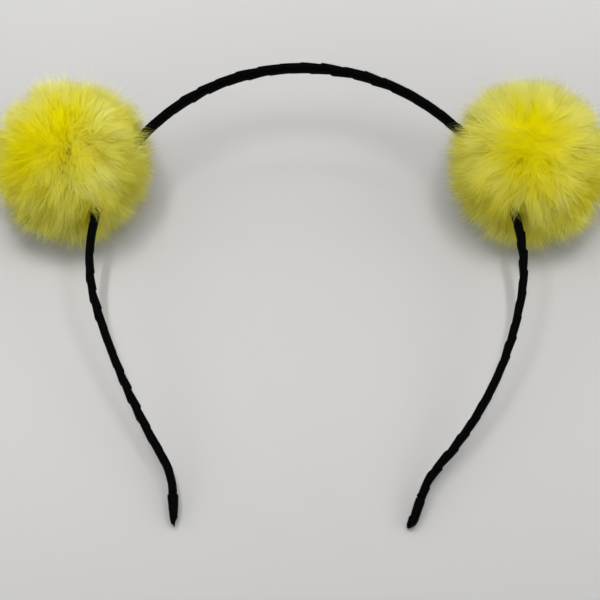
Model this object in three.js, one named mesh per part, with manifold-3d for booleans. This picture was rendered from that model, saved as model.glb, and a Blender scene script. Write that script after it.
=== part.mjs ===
// Pompom headband lying on its two tips and its two pompoms, in millimetres.
// X runs across the hoop, Y from its tips to its crown and Z up from the floor.

import * as THREE from 'three';
import Module from 'manifold-3d';

// The hoop lies in a plane that leans up from the tips to the crown. Angles are in degrees.
const HOOP_TILT = 12;
const TIP_RISE = 1.6; // middle of the band above the floor at the line of the tips
const APEX = { across: -1, along: 153.7, lean: 1.5 };

// Each side of the hoop is a chain of arcs from the apex down to a tip.
const LEFT_RUN = [
  { stretch: 'crown', length: 40, turn: 35 },
  { stretch: 'shoulder', length: 40, turn: 32.5 },
  { stretch: 'side', length: 40, turn: 39 },
  { stretch: 'leg', length: 53, turn: 12.5 },
  { stretch: 'bend', length: 12, turn: -27.5 },
  { stretch: 'tip', length: 10, turn: 0 },
];
const RIGHT_RUN = [
  { stretch: 'crown', length: 40, turn: 34.5 },
  { stretch: 'shoulder', length: 40, turn: 30 },
  { stretch: 'side', length: 40, turn: 37.5 },
  { stretch: 'leg', length: 62, turn: 31 },
  { stretch: 'bend', length: 12, turn: -22.5 },
  { stretch: 'tip', length: 10, turn: 0 },
];

// Ribbon winding: each turn laps over the last and leaves a low slanting edge.
const BAND_THICK = 2.6; // in the hoop's plane
const BAND_WIDE = 4.8; // across the hoop's plane
const BAND_ROUNDING = 2.6; // exponent of the section, 2 for an ellipse
const BAND_SIDES = 8;
const WRAP_PITCH = 7;
const WRAP_EDGE = 0.24; // height of a ribbon edge over the turn beside it
const WRAP_LINES = [
  { share: 0, level: 0.5 },
  { share: 0.46, level: 0.05 },
  { share: 0.92, level: -0.5 },
];

// Folded ribbon end over each tip: a cap on a narrow neck of the band.
const CAP_LENGTH = 10;
const CAP_GAP = 0.3;
const CAP_FLOOR = 2; // solid end of the cap
const NECK = { thick: 1, wide: 3.2 };
const CAP_OUTSIDE = [
  { from_end: 0, thick: 1.5, wide: 3.4 },
  { from_end: 0.8, thick: 2.1, wide: 4.4 },
  { from_end: 3, thick: 2.7, wide: 5.2 },
  { from_end: 6.5, thick: 3.2, wide: 5.5 },
  { from_end: CAP_LENGTH - CAP_GAP, thick: 3, wide: 5.3 },
];

// Fur balls: a head of dense fur with combed locks standing out of it.
const CLEARANCE = 0.3; // between the band and the fur that it runs through
const HEAD_RADIUS = 21.4;
const HEAD_DEPTH = 24.4; // lower half, pressed down by the ball's own weight
const HEAD_SIDES = 12;
const HEAD_BANDS = 8;
const LOCK_SIDES = 5;
const LOCK_RINGS = [
  { reach: 13, half: 3.8, combed: 0 },
  { reach: 20.4, half: 5.7, combed: 0.35 },
  { reach: 24.3, half: 4.4, combed: 0.75 },
];
const LOCK_TIP = 26.1;
const LOCK_SWAY = 0.7; // how far the tips differ in reach
const COMB = { at_whorl: 6, at_middle: 22 }; // degrees that a lock leans away from the whorl
const POMPOMS = [
  { name: 'pompom_left', across: -73.2, along: 120.6, rise: 23.5, locks: 60, whorl_lean: 9, whorl_way: 250 },
  { name: 'pompom_right', across: 73.4, along: 120.4, rise: 23.5, locks: 60, whorl_lean: 16, whorl_way: 275 },
];

const RIBBON = { color: 0x17181b, roughness: 0.7, metalness: 0 };
const FUR = { color: 0xd9cd2a, roughness: 0.95, metalness: 0 };

const wasm = await Module();
wasm.setup();

const radians = THREE.MathUtils.degToRad;
const ALONG = new THREE.Vector3(0, Math.cos(radians(HOOP_TILT)), Math.sin(radians(HOOP_TILT)));
const ACROSS = new THREE.Vector3(1, 0, 0);
const FACE = new THREE.Vector3().crossVectors(ACROSS, ALONG);
const LEFT_LENGTH = LEFT_RUN.reduce((sum, row) => sum + row.length, 0);
const RIGHT_LENGTH = RIGHT_RUN.reduce((sum, row) => sum + row.length, 0);
const BAND_LENGTH = LEFT_LENGTH + RIGHT_LENGTH;

// Walks a chain of arcs from the apex: side is -1 to the left and 1 to the right.
function walk(run, side, distance) {
  let across = APEX.across;
  let along = APEX.along;
  let heading = radians(-side * APEX.lean);
  let left = distance;
  for (const row of run) {
    const step = Math.min(left, row.length);
    const turn = (radians(row.turn) * step) / row.length;
    const chord = turn === 0 ? step : (2 * step * Math.sin(turn / 2)) / turn;
    across += side * chord * Math.cos(heading + turn / 2);
    along -= chord * Math.sin(heading + turn / 2);
    heading += turn;
    left -= step;
  }
  return { across, along, heading };
}

// Middle of the band at a distance from the left tip, with the outward direction in the hoop's plane.
function bandAt(distance) {
  const side = distance < LEFT_LENGTH ? -1 : 1;
  const run = side < 0 ? LEFT_RUN : RIGHT_RUN;
  const spot = walk(run, side, Math.abs(distance - LEFT_LENGTH));
  const middle = new THREE.Vector3(0, 0, TIP_RISE);
  middle.addScaledVector(ACROSS, spot.across).addScaledVector(ALONG, spot.along);
  const outward = new THREE.Vector3();
  outward.addScaledVector(ACROSS, side * Math.sin(spot.heading)).addScaledVector(ALONG, Math.cos(spot.heading));
  return { middle, outward };
}

// One point of a rounded oblong section of the band.
function sectionPoint(distance, corner, thick, wide) {
  const { middle, outward } = bandAt(distance);
  const angle = (2 * Math.PI * corner) / BAND_SIDES;
  const soften = (v) => Math.sign(v) * Math.abs(v) ** (2 / BAND_ROUNDING);
  return middle
    .addScaledVector(outward, (thick / 2) * soften(Math.cos(angle)))
    .addScaledVector(FACE, (wide / 2) * soften(Math.sin(angle)));
}

function sectionRing(distance, thick, wide) {
  return Array.from({ length: BAND_SIDES }, (_, j) => sectionPoint(distance, j, thick, wide));
}

// Triangle mesh from points and triples of indices, without the triples that closed up.
function meshOf(points, triples) {
  const geometry = new THREE.BufferGeometry();
  const open = triples.filter(([a, b, c]) => a !== b && b !== c && c !== a);
  geometry.setAttribute('position', new THREE.Float32BufferAttribute(points.flatMap((p) => p.toArray()), 3));
  geometry.setIndex(open.flat());
  return geometry;
}

function average(ring) {
  return ring.reduce((sum, p) => sum.add(p), new THREE.Vector3()).divideScalar(ring.length);
}

// Skin over a row of equal rings, closed at the first by a fan and at the last by a fan or a point.
function loft(rings, tip = average(rings.at(-1))) {
  const sides = rings[0].length;
  const points = [...rings.flat(), average(rings[0]), tip];
  const first = points.length - 2;
  const last = points.length - 1;
  const end = (rings.length - 1) * sides;
  const triples = [];
  for (let j = 0; j < sides; j += 1) {
    const k = (j + 1) % sides;
    triples.push([first, k, j], [last, end + j, end + k]);
    for (let i = 0; i < end; i += sides) {
      triples.push([i + j, i + k, i + sides + k], [i + j, i + sides + k, i + sides + j]);
    }
  }
  return meshOf(points, triples);
}

function solidOf(geometry) {
  const vertProperties = new Float32Array(geometry.attributes.position.array);
  const triVerts = new Uint32Array(geometry.index.array);
  return new wasm.Manifold(new wasm.Mesh({ numProp: 3, vertProperties, triVerts }));
}

function geometryOf(solid) {
  const mesh = solid.getMesh();
  const geometry = new THREE.BufferGeometry();
  geometry.setAttribute('position', new THREE.BufferAttribute(mesh.vertProperties, mesh.numProp));
  geometry.setIndex(new THREE.BufferAttribute(mesh.triVerts, 1));
  return geometry;
}

// Everything under the floor, to press soft pieces flat where they lie.
function underFloor() {
  const block = new THREE.BoxGeometry(400, 400, 100);
  block.translate(0, 0, -50);
  const bare = new THREE.BufferGeometry();
  const corners = new Map();
  const index = Array.from({ length: block.attributes.position.count }, (_, i) => {
    const corner = new THREE.Vector3().fromBufferAttribute(block.attributes.position, i);
    const key = corner.toArray().join();
    if (!corners.has(key)) corners.set(key, { at: corners.size, corner });
    return corners.get(key).at;
  });
  const points = [...corners.values()].flatMap(({ corner }) => corner.toArray());
  bare.setAttribute('position', new THREE.Float32BufferAttribute(points, 3));
  bare.setIndex([...block.index.array].map((i) => index[i]));
  return solidOf(bare);
}

// The wound hoop: mesh lines follow the slanting ribbon edges, and a neck stands out at each end.
function hoopBand() {
  const start = CAP_LENGTH;
  const stop = BAND_LENGTH - CAP_LENGTH;
  const lines = WRAP_LINES.length;
  const turns = Math.ceil((stop - start) / WRAP_PITCH) + 2;
  const points = [...sectionRing(start, BAND_THICK, BAND_WIDE), ...sectionRing(stop, BAND_THICK, BAND_WIDE)];
  const known = new Map();
  const corner = (line, side) => {
    const i = line + lines * Math.floor(side / BAND_SIDES);
    const j = side % BAND_SIDES;
    const row = WRAP_LINES[i % lines];
    const distance = start + WRAP_PITCH * (Math.floor(i / lines) - 1 + row.share + j / BAND_SIDES);
    if (distance <= start + 0.05) return j;
    if (distance >= stop - 0.05) return BAND_SIDES + j;
    const key = i * BAND_SIDES + j;
    if (!known.has(key)) {
      const grow = WRAP_EDGE * row.level;
      known.set(key, points.length);
      points.push(sectionPoint(distance, j, BAND_THICK + grow, BAND_WIDE + grow));
    }
    return known.get(key);
  };
  const triples = [];
  for (let i = 0; i < turns * lines; i += 1) {
    for (let j = 0; j < BAND_SIDES; j += 1) {
      const [a, b, c, d] = [corner(i, j), corner(i, j + 1), corner(i + 1, j + 1), corner(i + 1, j)];
      triples.push([a, b, c], [a, c, d]);
    }
  }
  addNeck(points, triples, { ring: 0, distance: start, end: CAP_FLOOR + CAP_GAP, first: true });
  addNeck(points, triples, {
    ring: BAND_SIDES,
    distance: stop,
    end: BAND_LENGTH - CAP_FLOOR - CAP_GAP,
    first: false,
  });
  return meshOf(points, triples);
}

// Steps the band down to a neck beyond one of its end rings.
function addNeck(points, triples, { ring, distance, end, first }) {
  const root = points.length;
  points.push(...sectionRing(distance, NECK.thick, NECK.wide), ...sectionRing(end, NECK.thick, NECK.wide));
  points.push(bandAt(end).middle);
  const rows = [ring, root, root + BAND_SIDES];
  for (let j = 0; j < BAND_SIDES; j += 1) {
    const k = (j + 1) % BAND_SIDES;
    const faces = rows.slice(1).flatMap((row, i) => [
      [rows[i] + j, rows[i] + k, row + k],
      [rows[i] + j, row + k, row + j],
    ]);
    faces.push([points.length - 1, rows[2] + j, rows[2] + k]);
    triples.push(...faces.map(([a, b, c]) => (first ? [a, c, b] : [a, b, c])));
  }
}

// Cap of folded ribbon: its skin runs up the outside to the rim and back down inside to the cap's floor.
function tipWrap(atLeft) {
  const place = (fromEnd) => (atLeft ? fromEnd : BAND_LENGTH - fromEnd);
  const bore = { thick: NECK.thick + 2 * CLEARANCE, wide: NECK.wide + 2 * CLEARANCE };
  const rim = CAP_OUTSIDE.at(-1).from_end;
  const rings = CAP_OUTSIDE.map((row) => sectionRing(place(row.from_end), row.thick, row.wide));
  rings.push(sectionRing(place(rim), bore.thick, bore.wide));
  rings.push(sectionRing(place(CAP_FLOOR), bore.thick, bore.wide));
  const facing = atLeft ? rings : rings.map((ring) => ring.toReversed());
  return geometryOf(solidOf(loft(facing)).subtract(underFloor()));
}

// Room for the band along its run past a pompom.
function bandRoom(from, to) {
  const spare = 2 * CLEARANCE + WRAP_EDGE;
  const count = Math.ceil((to - from) / (WRAP_PITCH / 2));
  const rings = Array.from({ length: count + 1 }, (_, i) =>
    sectionRing(from + ((to - from) * i) / count, BAND_THICK + spare, BAND_WIDE + spare),
  );
  return solidOf(loft(rings));
}

// Head of a pompom: a ball with a deeper lower half that the floor cuts flat.
function furHead(centre) {
  const rings = [];
  for (let i = 1; i < HEAD_BANDS; i += 1) {
    const angle = Math.PI * (i / HEAD_BANDS) - Math.PI / 2;
    const depth = angle < 0 ? HEAD_DEPTH : HEAD_RADIUS;
    const rise = centre.z + depth * Math.sin(angle);
    rings.push(
      Array.from({ length: HEAD_SIDES }, (_, j) => {
        const way = (2 * Math.PI * j) / HEAD_SIDES;
        const spread = HEAD_RADIUS * Math.cos(angle);
        return new THREE.Vector3(centre.x + spread * Math.cos(way), centre.y + spread * Math.sin(way), rise);
      }),
    );
  }
  return solidOf(loft(rings, new THREE.Vector3(centre.x, centre.y, centre.z + HEAD_RADIUS)));
}

// One tapering lock, rooted in the head and combed away from the whorl.
function furLock(centre, whorl, number, locks) {
  const golden = Math.PI * (3 - Math.sqrt(5));
  const polar = Math.acos(1 - (2 * (number + 0.5)) / locks);
  const upright = new THREE.Vector3(0, 0, 1);
  const turn = new THREE.Quaternion().setFromUnitVectors(upright, whorl);
  const root = new THREE.Vector3().setFromSphericalCoords(1, polar, number * golden);
  root.set(root.z, root.x, root.y).applyQuaternion(turn);
  const axis = new THREE.Vector3().crossVectors(whorl, root).normalize();
  const comb = radians(COMB.at_whorl + (COMB.at_middle - COMB.at_whorl) * Math.sin(polar));
  const leaned = (share) => root.clone().applyAxisAngle(axis, comb * share);
  const rings = LOCK_RINGS.map((row) => {
    const way = leaned(row.combed);
    const side = new THREE.Vector3().crossVectors(way, axis);
    return Array.from({ length: LOCK_SIDES }, (_, j) => {
      const angle = (2 * Math.PI * (j + number / 3)) / LOCK_SIDES;
      return centre
        .clone()
        .addScaledVector(way, row.reach)
        .addScaledVector(axis, row.half * Math.cos(angle))
        .addScaledVector(side, row.half * Math.sin(angle));
    });
  });
  const reach = LOCK_TIP + LOCK_SWAY * Math.sin(2.4 * number);
  return solidOf(loft(rings, centre.clone().addScaledVector(leaned(1), reach)));
}

// Head and locks in one body, with the band's way cut through it and its underside pressed flat.
function pompom({ across, along, rise, locks, whorl_lean: lean, whorl_way: way }) {
  const centre = new THREE.Vector3(across, along, rise);
  const whorl = new THREE.Vector3(
    Math.sin(radians(lean)) * Math.cos(radians(way)),
    Math.sin(radians(lean)) * Math.sin(radians(way)),
    Math.cos(radians(lean)),
  );
  const tufts = Array.from({ length: locks }, (_, k) => furLock(centre, whorl, k, locks));
  const near = Array.from({ length: Math.floor(BAND_LENGTH) }, (_, s) => s).filter(
    (s) => bandAt(s).middle.distanceTo(centre) < LOCK_TIP + 8,
  );
  const fur = wasm.Manifold.union([furHead(centre), ...tufts])
    .subtract(bandRoom(near[0], near.at(-1)))
    .subtract(underFloor());
  const bodies = fur.decompose().sort((a, b) => b.volume() - a.volume());
  return geometryOf(bodies[0]);
}

const shapes = [
  ['hoop_band', hoopBand(), RIBBON],
  ['tip_wrap_left', tipWrap(true), RIBBON],
  ['tip_wrap_right', tipWrap(false), RIBBON],
  ...POMPOMS.map((row) => [row.name, pompom(row), FUR]),
];

// Stands the part on the middle of its own footprint.
const box = new THREE.Box3();
for (const [, geometry] of shapes) {
  geometry.computeBoundingBox();
  box.union(geometry.boundingBox);
}
const middle = box.getCenter(new THREE.Vector3());

const part = new THREE.Group();
part.name = 'pompom_headband';
for (const [name, geometry, finish] of shapes) {
  geometry.translate(-middle.x, -middle.y, -box.min.z);
  geometry.computeVertexNormals();
  const mesh = new THREE.Mesh(geometry, new THREE.MeshStandardMaterial(finish));
  mesh.name = name;
  part.add(mesh);
}

export default part;
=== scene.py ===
"""Looks of the pompom headband: a hoop wound in black ribbon, its folded tips and two faux-fur balls.

Sizes are in millimetres until a mesh is made. X runs across the hoop, Y from its tips to its crown
and Z up.
"""

import logging
import math
from dataclasses import dataclass, field
from enum import Enum

import bpy
import numpy as np
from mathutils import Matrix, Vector


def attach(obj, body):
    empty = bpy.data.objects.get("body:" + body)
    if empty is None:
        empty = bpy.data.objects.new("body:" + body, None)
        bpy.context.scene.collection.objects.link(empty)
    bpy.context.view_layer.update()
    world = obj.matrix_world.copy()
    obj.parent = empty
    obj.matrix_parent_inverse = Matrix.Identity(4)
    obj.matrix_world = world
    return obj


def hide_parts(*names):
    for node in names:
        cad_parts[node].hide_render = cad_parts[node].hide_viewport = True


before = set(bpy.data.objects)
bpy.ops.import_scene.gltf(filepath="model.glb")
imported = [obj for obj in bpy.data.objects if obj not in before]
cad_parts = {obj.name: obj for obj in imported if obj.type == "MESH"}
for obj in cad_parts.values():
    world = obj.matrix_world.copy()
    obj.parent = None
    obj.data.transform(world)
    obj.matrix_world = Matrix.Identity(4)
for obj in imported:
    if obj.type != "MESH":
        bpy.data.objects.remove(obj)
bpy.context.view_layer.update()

MM = 0.001
GOLDEN_ANGLE = math.pi * (3 - math.sqrt(5))
# Random values drawn past the last one that a line needs.
SPARE_DRAWS = 3
# A direction that no whorl of fur lies along.
OFF_WHORL = np.array([0.0, 1.0, 0.2])
# The UV map that the fur's paint reads, and a copy of it for baking that paint into a texture.
STRAND_MAP = "strand"
BAKE_MAP = "OFBake"
log = logging.getLogger("headband")


class Side(Enum):
    """The two sides of the headband, by the sign of X."""

    LEFT = -1
    RIGHT = 1


def linear(code: str) -> tuple[float, float, float, float]:
    """Turn an sRGB hex colour into linear light.

    Args:
        code: Six hex digits, two for each of red, green and blue.

    Returns:
        Linear red, green and blue with an alpha of 1.
    """
    shares = [int(code[i:i + 2], 16) / 255 for i in (0, 2, 4)]
    red, green, blue = (v / 12.92 if v <= 0.04045 else ((v + 0.055) / 1.055) ** 2.4 for v in shares)
    return red, green, blue, 1.0


def unit(rows: np.ndarray) -> np.ndarray:
    """Scale vectors on the last axis to a length of 1."""
    return rows / np.maximum(np.linalg.norm(rows, axis=-1, keepdims=True), 1e-9)


def smooth(share: np.ndarray) -> np.ndarray:
    """Ease from 0 to 1 with level ends."""
    held = np.clip(share, 0.0, 1.0)
    return held * held * (3 - 2 * held)


def wander(places: np.ndarray, spacing: float, rng: np.random.Generator) -> np.ndarray:
    """Give a smooth random value between -1 and 1 at each place along a line.

    Args:
        places: Distances along the line, from 0 up.
        spacing: Distance between the random values that are joined smoothly.
        rng: Source of the random values.

    Returns:
        One value for each place.
    """
    knots = rng.uniform(-1, 1, int(places.max() / spacing) + SPARE_DRAWS)
    cell = np.floor(places / spacing).astype(int)
    share = smooth(places / spacing - cell)
    return knots[cell] * (1 - share) + knots[cell + 1] * share


def add_node(tree: bpy.types.NodeTree, kind: str, settings: dict | None = None,
             links: dict | None = None) -> bpy.types.Node:
    """Add a node, set its fields and sockets, and link what feeds it.

    Args:
        tree: Node tree that gets the node.
        kind: Blender's name for the kind of node.
        settings: Values by field name, or by the name or number of an input.
        links: Output sockets by the name or number of the input that they feed.

    Returns:
        The new node.
    """
    node = tree.nodes.new(kind)
    for key, value in (settings or {}).items():
        if isinstance(key, int) or key in node.inputs:
            node.inputs[key].default_value = value
        else:
            setattr(node, key, value)
    for key, socket in (links or {}).items():
        tree.links.new(socket, node.inputs[key])
    return node


def new_material(name: str) -> tuple[bpy.types.Material, bpy.types.NodeTree]:
    """Start a node material with nothing in it.

    Args:
        name: Name of the real material.

    Returns:
        The material and its node tree.
    """
    material = bpy.data.materials.new(name)
    material.use_nodes = True
    material.node_tree.nodes.clear()
    return material, material.node_tree


@dataclass
class Skin:
    """Triangles or four-sided faces with what each vertex carries."""

    points: np.ndarray
    faces: np.ndarray
    uv: np.ndarray | None = None
    normals: np.ndarray | None = None

    def piece(self, name: str, material: bpy.types.Material,
              uv_names: tuple[str, ...] = ()) -> bpy.types.Object:
        """Make a mesh object at the origin from the arrays.

        Args:
            name: Name of the object and its mesh.
            material: Finish of the whole piece.
            uv_names: Names of the UV maps that take the skin's uv.

        Returns:
            The object, linked to the scene.
        """
        mesh = bpy.data.meshes.new(name)
        count, corners = self.faces.shape
        starts = np.arange(0, count * corners, corners, dtype=np.int32)
        mesh.vertices.add(len(self.points))
        mesh.vertices.foreach_set("co", (self.points * MM).astype(np.float32).ravel())
        mesh.loops.add(count * corners)
        mesh.loops.foreach_set("vertex_index", self.faces.astype(np.int32).ravel())
        mesh.polygons.add(count)
        mesh.polygons.foreach_set("loop_start", starts)
        mesh.update(calc_edges=True)
        mesh.polygons.foreach_set("use_smooth", np.ones(count, dtype=bool))
        for uv_name in uv_names:
            layer = mesh.uv_layers.new(name=uv_name)
            layer.data.foreach_set("uv", self.uv[self.faces.ravel()].astype(np.float32).ravel())
        if self.normals is not None:
            mesh.normals_split_custom_set_from_vertices(self.normals.astype(np.float32))
        mesh.materials.append(material)
        made = bpy.data.objects.new(name, mesh)
        bpy.context.scene.collection.objects.link(made)
        return made


def tube(rings: np.ndarray) -> Skin:
    """Skin a row of closed rings and close both ends with a fan.

    Args:
        rings: Points by ring, by place round the ring and by axis.

    Returns:
        Triangles whose normals face away from the row's own line.
    """
    count, sides = rings.shape[:2]
    points = np.concatenate([rings.reshape(-1, 3), rings[[0, -1]].mean(axis=1)])
    row, col = np.meshgrid(np.arange(count - 1) * sides, np.arange(sides), indexing="ij")
    after = (col + 1) % sides
    a, b, c, d = (row + col, row + after, row + sides + after, row + sides + col)
    halves = [np.stack(three, -1).reshape(-1, 3) for three in ((a, b, c), (a, c, d))]
    round_ring = np.arange(sides)
    next_round = (round_ring + 1) % sides
    first = np.stack([np.full(sides, len(points) - 2), next_round, round_ring], -1)
    end = (count - 1) * sides
    last = np.stack([np.full(sides, len(points) - 1), end + round_ring, end + next_round], -1)
    return Skin(points, np.concatenate([*halves, first, last]))


def strip_faces(count: int, rows: int) -> np.ndarray:
    """Number the corners of the triangles of strips that run in pairs and end in a point.

    Args:
        count: How many strips.
        rows: Points along a strip.

    Returns:
        Three vertex numbers for each triangle.
    """
    per = 2 * rows - 1
    step = 2 * np.arange(rows - 2)
    one = np.concatenate([
        np.stack([step, step + 1, step + 3], -1),
        np.stack([step, step + 3, step + 2], -1),
        [[per - 3, per - 2, per - 1]],
    ])
    return (one[None] + per * np.arange(count)[:, None, None]).reshape(-1, 3)


@dataclass(frozen=True)
class Stretch:
    """One arc of the hoop: its length and how many degrees it turns."""

    length: float
    turn: float


@dataclass(frozen=True)
class HoopPath:
    """Middle line of the band: two chains of arcs from the apex, in a plane that leans up to the crown.

    Each chain runs through crown, shoulder, side, leg, bend and tip.
    """

    tilt: float = 12.0
    tip_rise: float = 1.6
    apex_across: float = -1.0
    apex_along: float = 153.7
    apex_lean: float = 1.5
    shift_across: float = 0.045
    shift_along: float = -75.62
    left: tuple[Stretch, ...] = (
        Stretch(40, 35),
        Stretch(40, 32.5),
        Stretch(40, 39),
        Stretch(53, 12.5),
        Stretch(12, -27.5),
        Stretch(10, 0),
    )
    right: tuple[Stretch, ...] = (
        Stretch(40, 34.5),
        Stretch(40, 30),
        Stretch(40, 37.5),
        Stretch(62, 31),
        Stretch(12, -22.5),
        Stretch(10, 0),
    )

    @property
    def left_length(self) -> float:
        """Length of the band from the left tip to the apex."""
        return sum(part.length for part in self.left)

    @property
    def length(self) -> float:
        """Length of the band from tip to tip."""
        return self.left_length + sum(part.length for part in self.right)

    @property
    def along(self) -> np.ndarray:
        """Direction in the hoop's plane from the tips to the crown."""
        lean = math.radians(self.tilt)
        return np.array([0.0, math.cos(lean), math.sin(lean)])

    @property
    def face(self) -> np.ndarray:
        """Direction out of the hoop's plane, upwards."""
        lean = math.radians(self.tilt)
        return np.array([0.0, -math.sin(lean), math.cos(lean)])

    def walk(self, side: Side, distance: np.ndarray) -> tuple[np.ndarray, np.ndarray, np.ndarray]:
        """Follow one chain of arcs from the apex.

        Within an arc the band goes on by a chord, which is the length times the sine of half the turn
        over half the turn, at the heading half-way through the turn.

        Args:
            side: Which chain.
            distance: Distances from the apex.

        Returns:
            Places across and along the hoop's plane, and the headings in radians.
        """
        run = self.left if side is Side.LEFT else self.right
        across = np.full_like(distance, self.apex_across)
        along = np.full_like(distance, self.apex_along)
        heading = np.full_like(distance, math.radians(-side.value * self.apex_lean))
        begun = 0.0
        for part in run:
            step = np.clip(distance - begun, 0.0, part.length)
            turn = math.radians(part.turn) * step / part.length
            chord = step * np.sinc(turn / 2 / np.pi)
            across = across + side.value * chord * np.cos(heading + turn / 2)
            along = along - chord * np.sin(heading + turn / 2)
            heading = heading + turn
            begun += part.length
        return across, along, heading

    def at(self, distance: np.ndarray) -> tuple[np.ndarray, np.ndarray]:
        """Find the band at distances from the left tip.

        Args:
            distance: Distances in millimetres, of any shape.

        Returns:
            The band's middle, and the direction out of the hoop in its plane.
        """
        away = distance - self.left_length
        on_left = away < 0
        chains = {side: self.walk(side, np.abs(away)) for side in Side}
        across, along, heading = (
            np.where(on_left, a, b) for a, b in zip(chains[Side.LEFT], chains[Side.RIGHT])
        )
        sign = np.where(on_left, -1.0, 1.0)
        shift = np.array([self.shift_across, self.shift_along, self.tip_rise])
        middle = along[..., None] * self.along + shift
        middle[..., 0] += across
        outward = np.cos(heading)[..., None] * self.along
        outward[..., 0] += sign * np.sin(heading)
        return middle, outward

    def section(self, distance: np.ndarray, angle: np.ndarray, thick: np.ndarray, wide: np.ndarray,
                rounding: float) -> np.ndarray:
        """Lay a rounded oblong section over the path.

        The point is the middle, plus the outward direction by half the thickness times a softened
        cosine, plus the face direction by half the width times a softened sine.

        Args:
            distance: Distances from the left tip.
            angle: Angles round the section in radians.
            thick: Size in the hoop's plane.
            wide: Size across the hoop's plane.
            rounding: Exponent of the outline, 2 for an ellipse and more for a squarer one.

        Returns:
            Points of the broadcast shape of the arguments.
        """
        middle, outward = self.at(distance)
        cosine, sine = np.cos(angle), np.sin(angle)
        power = 2 / rounding
        out = thick / 2 * np.sign(cosine) * np.abs(cosine) ** power
        up = wide / 2 * np.sign(sine) * np.abs(sine) ** power
        return middle + out[..., None] * outward + up[..., None] * self.face


@dataclass(frozen=True)
class RibbonFinish:
    """Narrow woven polyester ribbon, dyed black."""

    colour: str = "020202"
    roughness: float = 0.65
    gloss: float = 0.015
    # The real weave is finer and would not show, so it is drawn as coarse as this.
    weave_mm: float = 0.5
    weave_detail: float = 2.0
    weave_depth_mm: float = 0.1
    weave_strength: float = 0.12

    def material(self) -> bpy.types.Material:
        """Build the ribbon's nodes, with a fine weave that breaks up its highlights.

        Returns:
            The material.
        """
        # Woven yarn gives the eye a flat black with hardly any sheen.
        material, tree = new_material("black_polyester_ribbon")
        place = add_node(tree, "ShaderNodeTexCoord").outputs["Object"]
        weave = add_node(tree, "ShaderNodeTexNoise", {
            "Scale": 1 / (self.weave_mm * MM),
            "Detail": self.weave_detail,
        }, {"Vector": place})
        bump = add_node(tree, "ShaderNodeBump", {
            "Strength": self.weave_strength,
            "Distance": self.weave_depth_mm * MM,
        }, {"Height": weave.outputs["Fac"]})
        shader = add_node(tree, "ShaderNodeBsdfPrincipled", {
            "Base Color": linear(self.colour),
            "Roughness": self.roughness,
            "Specular IOR Level": self.gloss,
        }, {"Normal": bump.outputs["Normal"]})
        add_node(tree, "ShaderNodeOutputMaterial", links={"Surface": shader.outputs["BSDF"]})
        return material


@dataclass(frozen=True)
class FurFinish:
    """Long acrylic faux fur, dyed yellow, with pale lemon tips that are partly their own tone and
    partly painted sheen.
    """

    root: str = "f8e400"
    body: str = "ebe100"
    # Pale lemon of the tips: partly the fibres' own tone, partly painted sheen from light through the
    # thin tips.
    tip: str = "eef1a2"
    body_from: float = 0.6
    pale_from: float = 0.45
    roughness: float = 0.8
    gloss: float = 0.0
    glow: float = 0.4

    def material(self) -> bpy.types.Material:
        """Build the fur's nodes, where V of the strand map is root to tip and U how pale the tip is.

        Returns:
            The material.
        """
        # Fine fibres give the eye a soft yellow, golden in the partings, that lets some light through;
        # the paler tips are partly painted sheen.
        material, tree = new_material("yellow_acrylic_faux_fur")
        strand = add_node(tree, "ShaderNodeUVMap", {"uv_map": STRAND_MAP})
        split = add_node(tree, "ShaderNodeSeparateXYZ", links={"Vector": strand.outputs["UV"]})
        up_strand = add_node(tree, "ShaderNodeMapRange", {"From Max": self.body_from},
                             {"Value": split.outputs["Y"]})
        dyed = add_node(tree, "ShaderNodeMixRGB", {
            "Color1": linear(self.root),
            "Color2": linear(self.body),
        }, {"Fac": up_strand.outputs["Result"]})
        # Paleness near the tip: partly the fibres' tone, partly painted sheen where light passes
        # through the rim.
        near_tip = add_node(tree, "ShaderNodeMapRange", {"From Min": self.pale_from},
                            {"Value": split.outputs["Y"]})
        paleness = add_node(tree, "ShaderNodeMath", {"operation": "MULTIPLY"},
                            {0: near_tip.outputs["Result"], 1: split.outputs["X"]})
        paint = add_node(tree, "ShaderNodeMixRGB", {"Color2": linear(self.tip)},
                         {"Fac": paleness.outputs["Value"], "Color1": dyed.outputs["Color"]})
        shader = add_node(tree, "ShaderNodeBsdfPrincipled", {
            "Roughness": self.roughness,
            "Specular IOR Level": self.gloss,
        }, {"Base Color": paint.outputs["Color"]})
        through = add_node(tree, "ShaderNodeBsdfTranslucent", links={"Color": paint.outputs["Color"]})
        both = add_node(tree, "ShaderNodeMixShader", {0: self.glow},
                        {1: shader.outputs["BSDF"], 2: through.outputs["BSDF"]})
        add_node(tree, "ShaderNodeOutputMaterial", links={"Surface": both.outputs["Shader"]})
        return material


@dataclass(frozen=True)
class MattFinish:
    """A plain matt finish of one colour."""

    name: str
    colour: str
    roughness: float
    gloss: float

    def material(self) -> bpy.types.Material:
        """Build the finish's nodes.

        Returns:
            The material.
        """
        material, tree = new_material(self.name)
        shader = add_node(tree, "ShaderNodeBsdfPrincipled", {
            "Base Color": linear(self.colour),
            "Roughness": self.roughness,
            "Specular IOR Level": self.gloss,
        })
        add_node(tree, "ShaderNodeOutputMaterial", links={"Surface": shader.outputs["BSDF"]})
        return material


# Knitted backing, drawn together at the heart of a pompom: a dull gold that shows between strands.
BACKING = MattFinish("gold_knit_backing", "f0d800", roughness=0.9, gloss=0.5)
# Matt card under the headband: an even pale grey that takes soft shadows.
BOARD = MattFinish("matt_white_board", "a5a4a3", roughness=0.8, gloss=0.1)


def declare(piece: bpy.types.Object, node: str) -> bpy.types.Object:
    """Attach a piece to the body root and hide the CAD node that it stands for.

    Args:
        piece: The piece's object.
        node: Name of the CAD node.

    Returns:
        The same object.
    """
    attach(piece, "root")
    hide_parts(node)
    return piece


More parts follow.
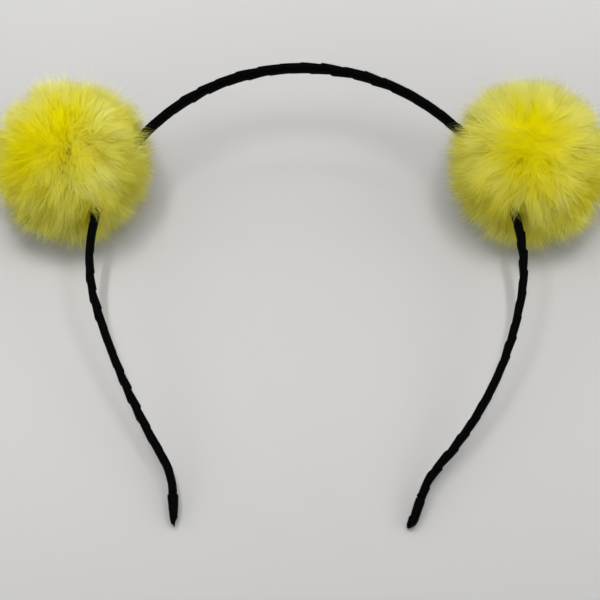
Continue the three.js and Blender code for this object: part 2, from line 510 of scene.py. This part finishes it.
@dataclass
class WoundBand:
    """The hoop's winding: one ribbon laid in slanting turns, each lapping over the last.

    A bare neck at each end stands for the strip inside and reaches into the folded tip.
    """

    path: HoopPath
    finish: bpy.types.Material
    thick: float = 2.6
    wide: float = 4.8
    rounding: float = 2.6
    pitch: float = 7.0
    edge: float = 0.65
    edge_vary: tuple[float, float] = (0.1, 1.9)
    edge_fade: float = 0.05
    sway: float = 1.1
    sway_pitches: float = 1.6
    lead_turns: int = 2
    cap: float = 10.0
    neck_thick: float = 1.0
    neck_wide: float = 3.2
    neck_end: float = 2.3
    step: float = 0.35
    sides: int = 32
    seed: int = 11
    rng: np.random.Generator = field(init=False)

    def __post_init__(self) -> None:
        """Seed the winding's own chance."""
        self.rng = np.random.default_rng(self.seed)

    def lap(self, distance: np.ndarray, angle: np.ndarray) -> np.ndarray:
        """Height of the ribbon over its mean surface.

        The turn number is the distance over the pitch less the share of the way round. Within a turn
        the height falls evenly from the free edge, and it climbs back over a short share at the next
        edge.

        Args:
            distance: Distances from the left tip, one for each ring.
            angle: Angles round the section.

        Returns:
            Heights by ring and angle.
        """
        shifted = distance + self.sway * wander(distance, self.sway_pitches * self.pitch, self.rng)
        phase = shifted[:, None] / self.pitch - angle[None, :] / (2 * np.pi) + self.lead_turns
        turn = np.floor(phase).astype(int)
        share = phase - turn
        heights = self.edge * self.rng.uniform(*self.edge_vary, turn.max() + SPARE_DRAWS)
        falling = heights[turn] * (0.5 - share)
        rise = smooth((share - 1 + self.edge_fade) / self.edge_fade)
        return falling * (1 - rise) + heights[turn + 1] * 0.5 * rise

    def neck(self, begin: float, end: float, angle: np.ndarray) -> np.ndarray:
        """Lay the two rings of a neck.

        Args:
            begin: Distance of the first ring from the left tip.
            end: Distance of the second.
            angle: Angles round the section.

        Returns:
            Points by ring and angle.
        """
        rows = np.array([begin, end])[:, None]
        flat = np.zeros((2, self.sides))
        return self.path.section(rows, angle[None, :], flat + self.neck_thick, flat + self.neck_wide,
                                 self.rounding)

    def build(self) -> bpy.types.Object:
        """Skin the winding with a neck at each end.

        Returns:
            The piece.
        """
        start, stop = self.cap, self.path.length - self.cap
        wound = np.linspace(start, stop, int((stop - start) / self.step))
        angle = np.linspace(0, 2 * np.pi, self.sides, endpoint=False)
        grow = self.lap(wound, angle)
        rings = np.concatenate([
            self.neck(self.neck_end, start, angle),
            self.path.section(wound[:, None], angle[None, :], self.thick + grow, self.wide + grow,
                              self.rounding),
            self.neck(stop, self.path.length - self.neck_end, angle),
        ])
        piece = tube(rings[:, ::-1]).piece("hoop_ribbon", self.finish)
        return declare(piece, "hoop_band")


@dataclass(frozen=True)
class Lap:
    """One ring of a folded tip: its place, sizes and how far it sits out of line."""

    from_end: float
    thick: float
    wide: float
    out: float


@dataclass
class TipWrap:
    """Ribbon end folded over a tip, a cap round the band's neck.

    The ragged rows give how far the end is drawn back, by the cosine of the angle round the ring.
    """

    side: Side
    path: HoopPath
    finish: bpy.types.Material
    laps: tuple[Lap, ...]
    ragged: tuple[tuple[float, float], ...]
    ragged_over: float = 3.0
    rounding: float = 2.4
    bore_thick: float = 1.6
    bore_wide: float = 3.8
    bore_floor: float = 2.0
    floor_gap: float = 0.02
    sides: int = 40
    rows: int = 60
    row_crowding: float = 1.3

    def place(self, from_end: np.ndarray) -> np.ndarray:
        """Turn a distance from this tip into one from the left tip."""
        return from_end if self.side is Side.LEFT else self.path.length - from_end

    def outside(self, angle: np.ndarray) -> np.ndarray:
        """Lay the rings of the fold, closest together at the end.

        The sizes follow the laps, read evenly between their rows. Near the end each place round the
        ring is drawn back by the ragged rows.

        Args:
            angle: Angles round the section.

        Returns:
            Points by ring and angle.
        """
        table = np.array([[lap.from_end, lap.thick, lap.wide, lap.out] for lap in self.laps])
        from_end = np.linspace(0, 1, self.rows) ** self.row_crowding * table[-1, 0]
        thick, wide, out = (np.interp(from_end, table[:, 0], table[:, k])[:, None] for k in (1, 2, 3))
        levels, back = np.array(self.ragged).T
        fading = smooth(1 - from_end / self.ragged_over)
        reach = from_end[:, None] + np.interp(np.cos(angle), levels, back)[None, :] * fading[:, None]
        rings = self.path.section(self.place(reach), angle[None, :], thick, wide, self.rounding)
        _, outward = self.path.at(self.place(from_end))
        return rings + out[..., None] * outward[:, None, :]

    def bore(self, angle: np.ndarray) -> np.ndarray:
        """Lay the two rings of the hole that takes the neck, from the rim to its floor.

        Args:
            angle: Angles round the section.

        Returns:
            Points by ring and angle.
        """
        depth = np.array([self.laps[-1].from_end, self.bore_floor])[:, None]
        flat = np.zeros((2, self.sides))
        return self.path.section(self.place(depth), angle[None, :], flat + self.bore_thick,
                                 flat + self.bore_wide, self.rounding)

    def build(self) -> bpy.types.Object:
        """Skin the cap outside and in.

        Returns:
            The piece.
        """
        angle = np.linspace(0, 2 * np.pi, self.sides, endpoint=False)
        rings = np.concatenate([self.outside(angle), self.bore(angle)])
        if self.side is Side.LEFT:
            rings = rings[:, ::-1]
        rings[..., 2] = np.maximum(rings[..., 2], self.floor_gap)
        piece = tube(rings).piece(f"tip_ribbon_{self.side.name.lower()}", self.finish)
        return declare(piece, f"tip_wrap_{self.side.name.lower()}")


@dataclass(frozen=True)
class FurLayer:
    """One coat of strands.

    Root and tip are distances from the ball's middle, and stray is how much the tips vary. The pulls
    are how far a tip is drawn to the middle of its lock and of its tuft. Wave is the sway to one side
    and frizz the random turn of each tip. Pale is how pale the tips are, partly painted sheen, and
    belly_shade the share of that which the lower half of the ball loses, as painted shade.
    """

    name: str
    strands: int
    root: float
    tip: float
    stray: float
    wide_root: float
    wide_tip: float
    lock_pull: float
    tuft_pull: float
    wave: float
    frizz: float
    pale: float
    belly_shade: float
    segments: int = 3


@dataclass(frozen=True)
class Gather:
    """One size of bunch that strands gather in.

    It has a count, the random step of its places as a share of their spacing, how far a bunch leans
    and how much its reach varies.
    """

    count: int
    jitter: float
    lean: float
    vary: float


@dataclass(frozen=True)
class Parting:
    """A place that the fur is combed away from, in degrees.

    It has a lean from upright, a way round, a reach, a push and the width over which the deep colour
    shows.
    """

    lean: float
    way: float
    reach: float
    push: float
    deep: float

    @property
    def middle(self) -> np.ndarray:
        """Direction from the ball's middle to the parting."""
        lean, way = math.radians(self.lean), math.radians(self.way)
        flat = math.sin(lean)
        return np.array([flat * math.cos(way), flat * math.sin(way), math.cos(lean)])


@dataclass(frozen=True)
class BandGap:
    """Room that the fur leaves round the band: an oval that widens where the band leaves the ball.

    The gap grows from part_from, over part_over, away from the ball's middle. Past bare_from no
    strand lies over the band, up to bare_up times the oval's height.
    """

    path: HoopPath
    thick: float = 2.9
    wide: float = 5.0
    gap: float = 0.35
    near: float = 32.0
    step: float = 0.4
    part_gap: float = 0.4
    part_from: float = 18.0
    part_over: float = 7.0
    bare_from: float = 24.3
    bare_up: float = 2.2
    clear_share: float = 0.7
    tested: tuple[float, ...] = (0.33, 0.67)

    def measure(self, flat: np.ndarray,
                middle: np.ndarray) -> tuple[np.ndarray, np.ndarray, np.ndarray]:
        """Place points against the oval at the nearest part of the band.

        Args:
            flat: Points, one to a row.
            middle: Middle of the ball.

        Returns:
            Where the points lie out of the hoop and over its plane, as shares of the oval's half
            sizes, and the oval's half height.
        """
        line, outward = self.path.at(np.arange(0.0, self.path.length, self.step))
        near = np.linalg.norm(line - middle, axis=1) < self.near
        line, outward = line[near], outward[near]
        apart = flat[:, None, :].astype(np.float32) - line[None].astype(np.float32)
        nearest = np.linalg.norm(apart, axis=2).argmin(axis=1)
        offset = flat - line[nearest]
        past = np.linalg.norm(flat - middle, axis=1) - self.part_from
        gap = self.gap + self.part_gap * smooth(past / self.part_over)
        out = np.einsum("ij,ij->i", offset, outward[nearest]) / (self.thick / 2 + gap)
        rise = self.wide / 2 + gap
        return out, offset @ self.path.face / rise, rise

    def lay(self, points: np.ndarray, middle: np.ndarray) -> tuple[np.ndarray, np.ndarray]:
        """Lay strands over or under the oval.

        A point inside the oval moves out of the hoop's plane to the oval's edge, on the side where its
        strand is rooted. A strand that would still cross the band between its points is dropped, and
        so is one that would hide the band where it leaves the ball.

        Args:
            points: Points by strand and row.
            middle: Middle of the ball.

        Returns:
            The moved points, and which strands stay.
        """
        rows = points.shape[1]
        level = self.path.at(np.array(self.path.left_length))[0] @ self.path.face
        above = np.repeat(np.sign(points[:, 0] @ self.path.face - level), rows)
        flat = points.reshape(-1, 3)
        out, up, rise = self.measure(flat, middle)
        edge = np.sqrt(np.clip(1 - out * out, 0, 1)) * above
        lift = np.where(out * out + up * up < 1, (edge - up) * rise, 0)
        hiding = (np.abs(out) < 1) & (up > -1) & (up < self.bare_up) & (above > 0)
        hiding &= np.linalg.norm(flat - middle, axis=1) > self.bare_from
        bare = ~hiding.reshape(-1, rows).any(axis=1)
        moved = (flat + lift[:, None] * self.path.face).reshape(points.shape)
        between = np.concatenate(
            [moved[:, 1:] * share + moved[:, :-1] * (1 - share) for share in self.tested], axis=1)
        out, up, _ = self.measure(between.reshape(-1, 3), middle)
        nearest = np.hypot(out, up).reshape(between.shape[:2]).min(axis=1)
        return moved, bare & (nearest > self.clear_share)


@dataclass
class Pompom:
    """A ball of long faux fur on the band, combed away from a whorl near its top and from partings.

    Strands gather in small locks and those in tufts. Low on the ball a skirt of fur is longer by
    skirt, and skirt_lean tips its upper edge up towards one side. Heights on the ball, such as
    skirt_from and belly_low, are shares of its radius. The combing, pulling and paling pairs are the
    ends of random ranges.
    """

    side: Side
    gap: BandGap
    fur: bpy.types.Material
    backing: bpy.types.Material
    centre: tuple[float, float, float]
    partings: tuple[Parting, ...]
    layers: tuple[FurLayer, ...]
    skirt: float
    skirt_lean: float
    seed: int
    skirt_from: float = 0.6
    skirt_over: float = 0.7
    skirt_lift: float = 0.9
    core: float = 10.6
    core_pole: float = 0.12
    core_rings: int = 18
    core_sides: int = 32
    tuft: Gather = Gather(count=220, jitter=0.5, lean=0.06, vary=0.8)
    lock: Gather = Gather(count=2000, jitter=0.45, lean=0.13, vary=0.6)
    lock_stray: float = 0.42
    strand_jitter: float = 0.6
    tuft_combing: tuple[float, float] = (0.7, 1.3)
    strand_combing: tuple[float, float] = (0.8, 1.2)
    strand_pulling: tuple[float, float] = (0.5, 1.4)
    tuft_paling: tuple[float, float] = (0.25, 1.4)
    strand_paling: tuple[float, float] = (0.7, 1.15)
    root_vary: float = 0.6
    turn_late: float = 1.5
    wave_turn: float = 4.5
    wave_starts: float = 6.3
    deep_from: float = 0.3
    deep_to: float = 1.15
    # Where the belly's painted shade, tips less pale, starts and fades.
    belly_top: float = 0.9
    belly_low: float = 0.55
    belly_fade: float = 0.5
    floor_gap: float = 0.25
    floor_vary: float = 0.8
    twist: float = 0.35
    normal_radial: float = 0.8
    normal_facing: float = 0.2
    normal_lock: float = 0.9
    normal_up: float = 0.07
    columns: int = 512
    column_edges: tuple[float, float] = (0.1, 0.9)
    column_middle: float = 0.5
    rng: np.random.Generator = field(init=False)
    tufts: np.ndarray = field(init=False)
    locks: np.ndarray = field(init=False)
    tuft_leans: np.ndarray = field(init=False)
    lock_leans: np.ndarray = field(init=False)
    lock_strays: np.ndarray = field(init=False)
    tuft_reach: np.ndarray = field(init=False)
    tuft_comb: np.ndarray = field(init=False)
    tuft_pale: np.ndarray = field(init=False)
    lock_reach: np.ndarray = field(init=False)

    def __post_init__(self) -> None:
        """Seed this pompom's own chance and draw its tufts and locks."""
        self.rng = np.random.default_rng(self.seed)
        self.tufts = self.spread(self.tuft.count, self.tuft.jitter)
        self.locks = self.spread(self.lock.count, self.lock.jitter)
        self.tuft_leans = self.leans(self.tufts, self.tuft.lean)
        self.lock_leans = self.leans(self.locks, self.lock.lean)
        self.lock_strays = self.rng.normal(0, self.lock_stray, (self.lock.count, 3))
        self.tuft_reach = self.rng.normal(0, self.tuft.vary, self.tuft.count)
        self.tuft_comb = self.rng.uniform(*self.tuft_combing, self.tuft.count)
        self.tuft_pale = self.rng.uniform(*self.tuft_paling, self.tuft.count)
        self.lock_reach = self.rng.normal(0, self.lock.vary, self.lock.count)

    @property
    def node(self) -> str:
        """Name of the CAD node that this pompom stands for."""
        return f"pompom_{self.side.name.lower()}"

    @property
    def middle(self) -> np.ndarray:
        """Middle of the ball."""
        return np.array(self.centre)

    @property
    def whorl(self) -> np.ndarray:
        """Direction from the ball's middle to the first parting."""
        return self.partings[0].middle

    def spread(self, count: int, jitter: float) -> np.ndarray:
        """Spread directions over a ball about the whorl.

        Heights fall evenly from pole to pole while the angle grows by the golden angle, and each
        direction is then moved by a random step.

        Args:
            count: How many directions.
            jitter: Size of the random step as a share of the mean spacing.

        Returns:
            Unit directions.
        """
        order = np.arange(count)
        height = 1 - 2 * (order + 0.5) / count
        flat = np.sqrt(1 - height * height)
        first = unit(np.cross(self.whorl, OFF_WHORL))
        second = np.cross(self.whorl, first)
        turn = order * GOLDEN_ANGLE
        rows = (height[:, None] * self.whorl + (flat * np.cos(turn))[:, None] * first
                + (flat * np.sin(turn))[:, None] * second)
        step = jitter * math.sqrt(4 * math.pi / count)
        return unit(rows + step * self.rng.normal(size=(count, 3)))

    def leans(self, ways: np.ndarray, size: float) -> np.ndarray:
        """Give each direction a random lean of about that size, square to it."""
        rows = self.rng.normal(0, size, ways.shape)
        return rows - (rows * ways).sum(axis=1, keepdims=True) * ways

    def combed(self, tips: np.ndarray, share: np.ndarray, stray: np.ndarray) -> np.ndarray:
        """Find where strands are rooted, from where their tips lie.

        Each parting draws the root towards itself by its push, times the angle over its reach, times
        a bell curve that is 1 where the angle equals the reach.

        Args:
            tips: Unit directions of the tips.
            share: Share of the full push for each strand.
            stray: How far the partings are moved for each strand, for a reach of one radian.

        Returns:
            Unit directions of the roots.
        """
        draw = np.zeros_like(tips)
        for parting in self.partings:
            middle = unit(parting.middle + math.radians(parting.reach) * stray)
            level = np.clip(np.einsum("ij,ij->i", tips, middle), -1, 1)
            toward = unit(middle - level[:, None] * tips)
            far = np.degrees(np.arccos(level)) / parting.reach
            drawn = math.radians(parting.push) * far * np.exp((1 - far * far) / 2)
            draw += drawn[:, None] * toward
        angle = np.linalg.norm(draw, axis=1) * share
        return tips * np.cos(angle)[:, None] + unit(draw) * np.sin(angle)[:, None]

    def gathered(self, layer: FurLayer, spots: np.ndarray, lock: np.ndarray,
                 tuft: np.ndarray) -> np.ndarray:
        """Draw the tips of strands together in their locks and tufts.

        A tip goes a share of the way from its own spot to its lock's middle and a share to its tuft's,
        and then by the leans of both and a small random turn.

        Args:
            layer: The coat.
            spots: Unit directions that the strands would point in alone.
            lock: Number of each strand's lock.
            tuft: Number of each strand's tuft.

        Returns:
            Unit directions of the tips.
        """
        pull = layer.lock_pull * self.rng.uniform(*self.strand_pulling, len(spots))[:, None]
        heads = spots * (1 - pull - layer.tuft_pull) + self.locks[lock] * pull
        heads += self.tufts[tuft] * layer.tuft_pull + self.tuft_leans[tuft] + self.lock_leans[lock]
        return unit(heads + layer.frizz * self.rng.normal(size=heads.shape))

    def in_skirt(self, spots: np.ndarray) -> np.ndarray:
        """Share of the skirt's length at each direction, from 0 above it to 1 at its foot."""
        height = spots[:, 2] + self.skirt_lean * spots[:, 0]
        return 1 - smooth((height + self.skirt_from) / self.skirt_over)

    def shown_tips(self, spots: np.ndarray, belly_shade: float) -> np.ndarray:
        """Find how much of the pale tips, which are partly painted sheen, shows.

        The share falls to none at the partings, and by a share on the belly of the ball as painted
        shade, which fades out towards the top and towards the skirt.

        Args:
            spots: Unit directions.
            belly_shade: Share of the paleness that the belly loses, as painted shade.

        Returns:
            One share for each direction.
        """
        nearest = np.min([np.degrees(np.arccos(np.clip(spots @ parting.middle, -1, 1))) / parting.deep
                          for parting in self.partings], axis=0)
        height = spots[:, 2]
        # Painted shade: on the belly the tips lose some of their paleness.
        under_top = 1 - smooth(height / self.belly_top)
        belly = under_top * smooth((height + self.belly_low) / self.belly_fade)
        beyond = smooth((nearest - self.deep_from) / (self.deep_to - self.deep_from))
        return beyond * (1 - belly_shade * belly)

    def strands(self, layer: FurLayer) -> tuple[np.ndarray, np.ndarray, np.ndarray]:
        """Lay the strands of one coat.

        Tips are spread evenly over the ball and drawn together in locks and tufts. Each strand leaves
        the heart straight out from its combed root, turns over towards its tip on the way, and sways a
        little to one side. It is then laid clear of the band and the floor.

        Args:
            layer: The coat.

        Returns:
            Points by strand and row, the way each strand's lock is rounded, and how pale each tip is.
        """
        count = layer.strands
        share = np.linspace(0, 1, layer.segments + 1)
        spots = self.spread(count, self.strand_jitter)
        lock = (spots @ self.locks.T).argmax(axis=1)
        tuft = (self.locks @ self.tufts.T).argmax(axis=1)[lock]
        comb = self.tuft_comb[tuft] * self.rng.uniform(*self.strand_combing, count)
        roots = self.combed(spots, comb, self.lock_strays[lock])
        heads = self.gathered(layer, spots, lock, tuft)
        low = self.in_skirt(spots)
        tips = layer.tip + self.tuft_reach[tuft] + self.lock_reach[lock]
        tips += layer.stray * self.rng.normal(size=count)
        tips += self.skirt * low
        starts = layer.root + self.rng.uniform(-self.root_vary, self.root_vary, count)
        turn = share[None, :, None] ** self.turn_late
        way = unit(roots[:, None, :] * (1 - turn) + heads[:, None, :] * turn)
        reach = starts[:, None] + (tips - starts)[:, None] * share[None, :]
        sideways = unit(np.cross(roots, self.rng.normal(size=(count, 3))))
        waving = self.rng.uniform(0, self.wave_starts, count)[:, None]
        sway = layer.wave * np.sin(share[None, :] * self.wave_turn + waving) * share
        points = self.middle + reach[..., None] * way + sway[..., None] * sideways[:, None, :]
        points, stays = self.gap.lay(points, self.middle)
        lowest = self.floor_gap + self.floor_vary * self.rng.random(count)[:, None]
        points[..., 2] = np.maximum(points[..., 2], lowest)
        rounding = (spots - self.locks[lock]) + (spots - self.tufts[tuft])
        rounding[:, 2] += self.skirt_lift * low
        # Paleness of the tips, partly painted sheen, with less of it on the belly as painted shade.
        pale = layer.pale * self.tuft_pale[tuft] * self.rng.uniform(*self.strand_paling, count)
        pale = pale * self.shown_tips(spots, layer.belly_shade)
        return points[stays], rounding[stays], pale[stays]

    def strip_uv(self, pale: np.ndarray, share: np.ndarray) -> np.ndarray:
        """Map strips to the columns of the strand map, paler to the right, with the tip at the top.

        Args:
            pale: How pale each strip's tip is.
            share: Share of the way up the strip at each row.

        Returns:
            U and V for each vertex.
        """
        column = np.clip(pale * self.columns, 0, self.columns - 1).astype(int)[:, None]
        place = np.concatenate([np.tile(self.column_edges, len(share) - 1), [self.column_middle]])
        height = np.concatenate([np.repeat(share[:-1], 2), [1.0]])
        pair = np.broadcast_arrays((column + place[None]) / self.columns, height[None])
        return np.stack(pair, -1).reshape(-1, 2)

    def coat(self, layer: FurLayer) -> bpy.types.Object:
        """Skin one coat as flat tapering strips that face out of the ball.

        A strip's sides lie half its width to either side of the strand, square to the strand and to
        the ball's radius, and it ends in a point. Its normals blend the radius with the strip's own
        facing and the rounding of its lock.

        Args:
            layer: The coat.

        Returns:
            The piece.
        """
        points, rounding, pale = self.strands(layer)
        count, rows = points.shape[:2]
        share = np.linspace(0, 1, rows)
        radial = unit(points - self.middle)
        along = unit(np.gradient(points, axis=1))
        twisted = unit(radial + self.twist * self.rng.normal(size=(count, 1, 3)))
        across = unit(np.cross(along, twisted))
        half = (layer.wide_root + (layer.wide_tip - layer.wide_root) * share) / 2
        to_sides = half[None, :-1, None, None] * np.array([-1.0, 1.0])[None, None, :, None]
        sides = points[:, :-1, None, :] + across[:, :-1, None, :] * to_sides
        corners = np.concatenate([sides.reshape(count, -1, 3), points[:, -1:, :]], axis=1)
        facing = unit(np.cross(across, along))
        normals = self.normal_radial * radial + self.normal_facing * facing
        normals += self.normal_lock * rounding[:, None, :] * share[None, :, None]
        normals[..., 2] += self.normal_up
        normals = unit(normals)
        spun = np.concatenate([np.repeat(normals[:, :-1], 2, axis=1), normals[:, -1:]], axis=1)
        skin = Skin(corners.reshape(-1, 3), strip_faces(count, rows), self.strip_uv(pale, share),
                    spun.reshape(-1, 3))
        piece = skin.piece(f"{self.node}_{layer.name}", self.fur, (STRAND_MAP, BAKE_MAP))
        return declare(piece, self.node)

    def heart(self) -> bpy.types.Object:
        """Skin the stuffed heart that the strands leave, a plain ball from its polar angles.

        Returns:
            The piece.
        """
        polar = np.linspace(self.core_pole, np.pi - self.core_pole, self.core_rings)[:, None]
        angle = np.linspace(0, 2 * np.pi, self.core_sides, endpoint=False)[None, :]
        flat = np.sin(polar)
        axes = np.broadcast_arrays(flat * np.cos(angle), flat * np.sin(angle), np.cos(polar))
        skin = tube((np.stack(axes, -1) * self.core + self.middle)[:, ::-1])
        piece = declare(skin.piece(f"{self.node}_heart", self.backing), self.node)
        return piece

    def build(self) -> list[bpy.types.Object]:
        """Make the heart and every coat of fur."""
        return [self.heart()] + [self.coat(layer) for layer in self.layers]


@dataclass(frozen=True)
class Lamp:
    """One rectangular light: its place, what it faces, its size, its power and how wide its beam is."""

    name: str
    place: tuple[float, float, float]
    aim: tuple[float, float, float]
    across: float
    along: float
    watts: float
    beam: float = 180.0

    def build(self) -> None:
        """Add the light to the scene."""
        data = bpy.data.lights.new(self.name, "AREA")
        data.shape = "RECTANGLE"
        data.size, data.size_y = self.across * MM, self.along * MM
        data.energy = self.watts
        data.spread = math.radians(self.beam)
        made = bpy.data.objects.new(self.name, data)
        way = Vector(self.aim) - Vector(self.place)
        made.location = Vector(self.place) * MM
        made.rotation_euler = way.to_track_quat("-Z", "Y").to_euler()
        bpy.context.scene.collection.objects.link(made)


@dataclass
class Studio:
    """White board, panels and strips over it, fills at its sides, even light and the photo's camera."""

    floor_finish: bpy.types.Material
    lamps: tuple[Lamp, ...]
    air_colour: str = "ffffff"
    air_strength: float = 0.63
    floor_half: float = 2000.0
    target: tuple[float, float, float] = (0.04, 6.81, -0.8)
    elevation: float = 57.0
    distance: float = 600.0
    lens: float = 111.8
    sensor: float = 36.0

    def floor(self) -> None:
        """Lay the board under the headband."""
        half = self.floor_half
        corners = np.array([[-half, -half, 0], [half, -half, 0], [half, half, 0], [-half, half, 0]])
        made = Skin(corners, np.array([[0, 1, 2, 3]])).piece("floor", self.floor_finish)

    def air(self) -> None:
        """Give the even light that comes from the walls."""
        world = bpy.data.worlds.new("studio_air")
        world.use_nodes = True
        tree = world.node_tree
        tree.nodes.clear()
        light = add_node(tree, "ShaderNodeBackground", {
            "Color": linear(self.air_colour),
            "Strength": self.air_strength,
        })
        add_node(tree, "ShaderNodeOutputWorld", links={"Surface": light.outputs["Background"]})
        bpy.context.scene.world = world

    def camera(self) -> None:
        """Set the camera at the photo's angle, looking along +Y and down."""
        data = bpy.data.cameras.new("camera")
        data.sensor_width = self.sensor
        data.lens = self.lens
        made = bpy.data.objects.new("camera", data)
        rise = math.radians(self.elevation)
        back = Vector((0.0, -math.cos(rise), math.sin(rise)))
        made.location = (Vector(self.target) + self.distance * back) * MM
        made.rotation_euler = (-back).to_track_quat("-Z", "Y").to_euler()
        bpy.context.scene.collection.objects.link(made)
        bpy.context.scene.camera = made

    def build(self) -> None:
        """Set up the floor, the light and the camera."""
        self.floor()
        self.air()
        for lamp in self.lamps:
            lamp.build()
        self.camera()
        bpy.context.scene.view_settings.view_transform = "Standard"


FUR_LAYERS = (
    FurLayer(
        name="underfur", strands=39000, root=10.8, tip=22.4, stray=1.2,
        wide_root=0.2, wide_tip=0.06, lock_pull=0.1, tuft_pull=0.05, wave=0.3, frizz=0.09,
        pale=0.35, belly_shade=0.7,
    ),
    FurLayer(
        name="overfur", strands=39000, root=12.5, tip=26.2, stray=1.1,
        wide_root=0.16, wide_tip=0.03, lock_pull=0.42, tuft_pull=0.12, wave=0.4, frizz=0.07,
        pale=1.15, belly_shade=0.55,
    ),
    FurLayer(
        name="wisps", strands=9000, root=14.0, tip=27.4, stray=1.0,
        wide_root=0.1, wide_tip=0.02, lock_pull=0.18, tuft_pull=0.1, wave=0.6, frizz=0.11,
        pale=1.2, belly_shade=0.0,
    ),
)

LEFT_CENTRE = (-73.154, 44.98, 23.5)
LEFT_PARTINGS = (
    Parting(lean=4, way=270, reach=45, push=16, deep=34),
    Parting(lean=22, way=250, reach=26, push=0, deep=36),
    Parting(lean=46, way=220, reach=22, push=10, deep=46),
)
RIGHT_CENTRE = (73.446, 44.78, 23.5)
RIGHT_PARTINGS = (
    Parting(lean=8, way=265, reach=45, push=16, deep=36),
    Parting(lean=34, way=254, reach=24, push=8, deep=40),
)

# Distance from the end, size in the hoop's plane, size across it and offset out of the hoop.
LEFT_LAPS = (
    Lap(0.0, 1.7, 2.6, 0.0),
    Lap(1.0, 2.0, 4.0, 0.0),
    Lap(2.4, 2.3, 4.6, 0.0),
    Lap(5.9, 2.9, 5.3, 0.0),
    Lap(8.6, 3.25, 5.5, 0.0),
    Lap(9.4, 3.3, 5.5, 0.0),
    Lap(9.7, 2.7, 5.0, 0.0),
)
RIGHT_LAPS = (
    Lap(0.0, 1.6, 3.2, -0.4),
    Lap(0.8, 2.6, 4.6, -0.3),
    Lap(3.2, 3.1, 5.2, -0.15),
    Lap(3.6, 2.7, 5.0, 0.0),
    Lap(9.0, 3.0, 5.4, 0.0),
    Lap(9.7, 2.4, 4.8, 0.0),
)
# Cosine of the angle round the ring, and how far the end is drawn back there.
LEFT_RAGGED = (
    (-1.0, 2.3), (-0.5, 2.1), (-0.25, 0.5), (-0.1, 0.0),
    (0.1, 0.2), (0.25, 1.3), (0.45, 0.9), (1.0, 1.0),
)
RIGHT_RAGGED = ((-1.0, 0.0), (-0.4, 0.1), (0.3, 0.6), (1.0, 1.0))

# Name, place, what it faces, size across and along, watts, and the beam's angle where it is narrow.
LAMPS = (
    Lamp("panel", (0, 10, 400), (0, 10, 0), 300, 96, 0.56),
    Lamp("panel_front", (0, -80, 400), (0, -80, 0), 300, 84, 0.18),
    Lamp("strip_left", (-116, 2, 400), (-116, 2, 0), 8, 186, 0.105, 60),
    Lamp("strip_right", (114, 2, 400), (114, 2, 0), 8, 186, 0.077, 60),
    Lamp("side_left", (-420, -20, 300), (-60, 20, 0), 160, 240, 0.18),
    Lamp("side_right", (420, -20, 300), (60, 20, 0), 160, 240, 0.3),
    Lamp("panel_back", (-10, 220, 300), (-10, 220, 0), 640, 80, 0.35, 64),
    Lamp("front_left", (-380, -380, 260), (-70, 30, 0), 260, 200, 0.4),
    Lamp("front_right", (380, -380, 260), (70, 30, 0), 260, 200, 0.48),
)


def main() -> None:
    """Build every piece in order and report each one."""
    logging.basicConfig(level=logging.INFO, format="%(name)s: %(message)s")
    path = HoopPath()
    gap = BandGap(path)
    ribbon = RibbonFinish().material()
    fur = FurFinish().material()
    backing = BACKING.material()
    made = [
        WoundBand(path, ribbon).build(),
        TipWrap(Side.LEFT, path, ribbon, LEFT_LAPS, LEFT_RAGGED).build(),
        TipWrap(Side.RIGHT, path, ribbon, RIGHT_LAPS, RIGHT_RAGGED).build(),
    ]
    made += Pompom(Side.LEFT, gap, fur, backing, LEFT_CENTRE, LEFT_PARTINGS, FUR_LAYERS,
                   skirt=2.0, skirt_lean=0.12, seed=21).build()
    made += Pompom(Side.RIGHT, gap, fur, backing, RIGHT_CENTRE, RIGHT_PARTINGS, FUR_LAYERS,
                   skirt=3.2, skirt_lean=-0.3, seed=22).build()
    for piece in made:
        log.info("%s: %d faces", piece.name, len(piece.data.polygons))
    Studio(BOARD.material(), LAMPS).build()


if __name__ == "__main__":
    main()
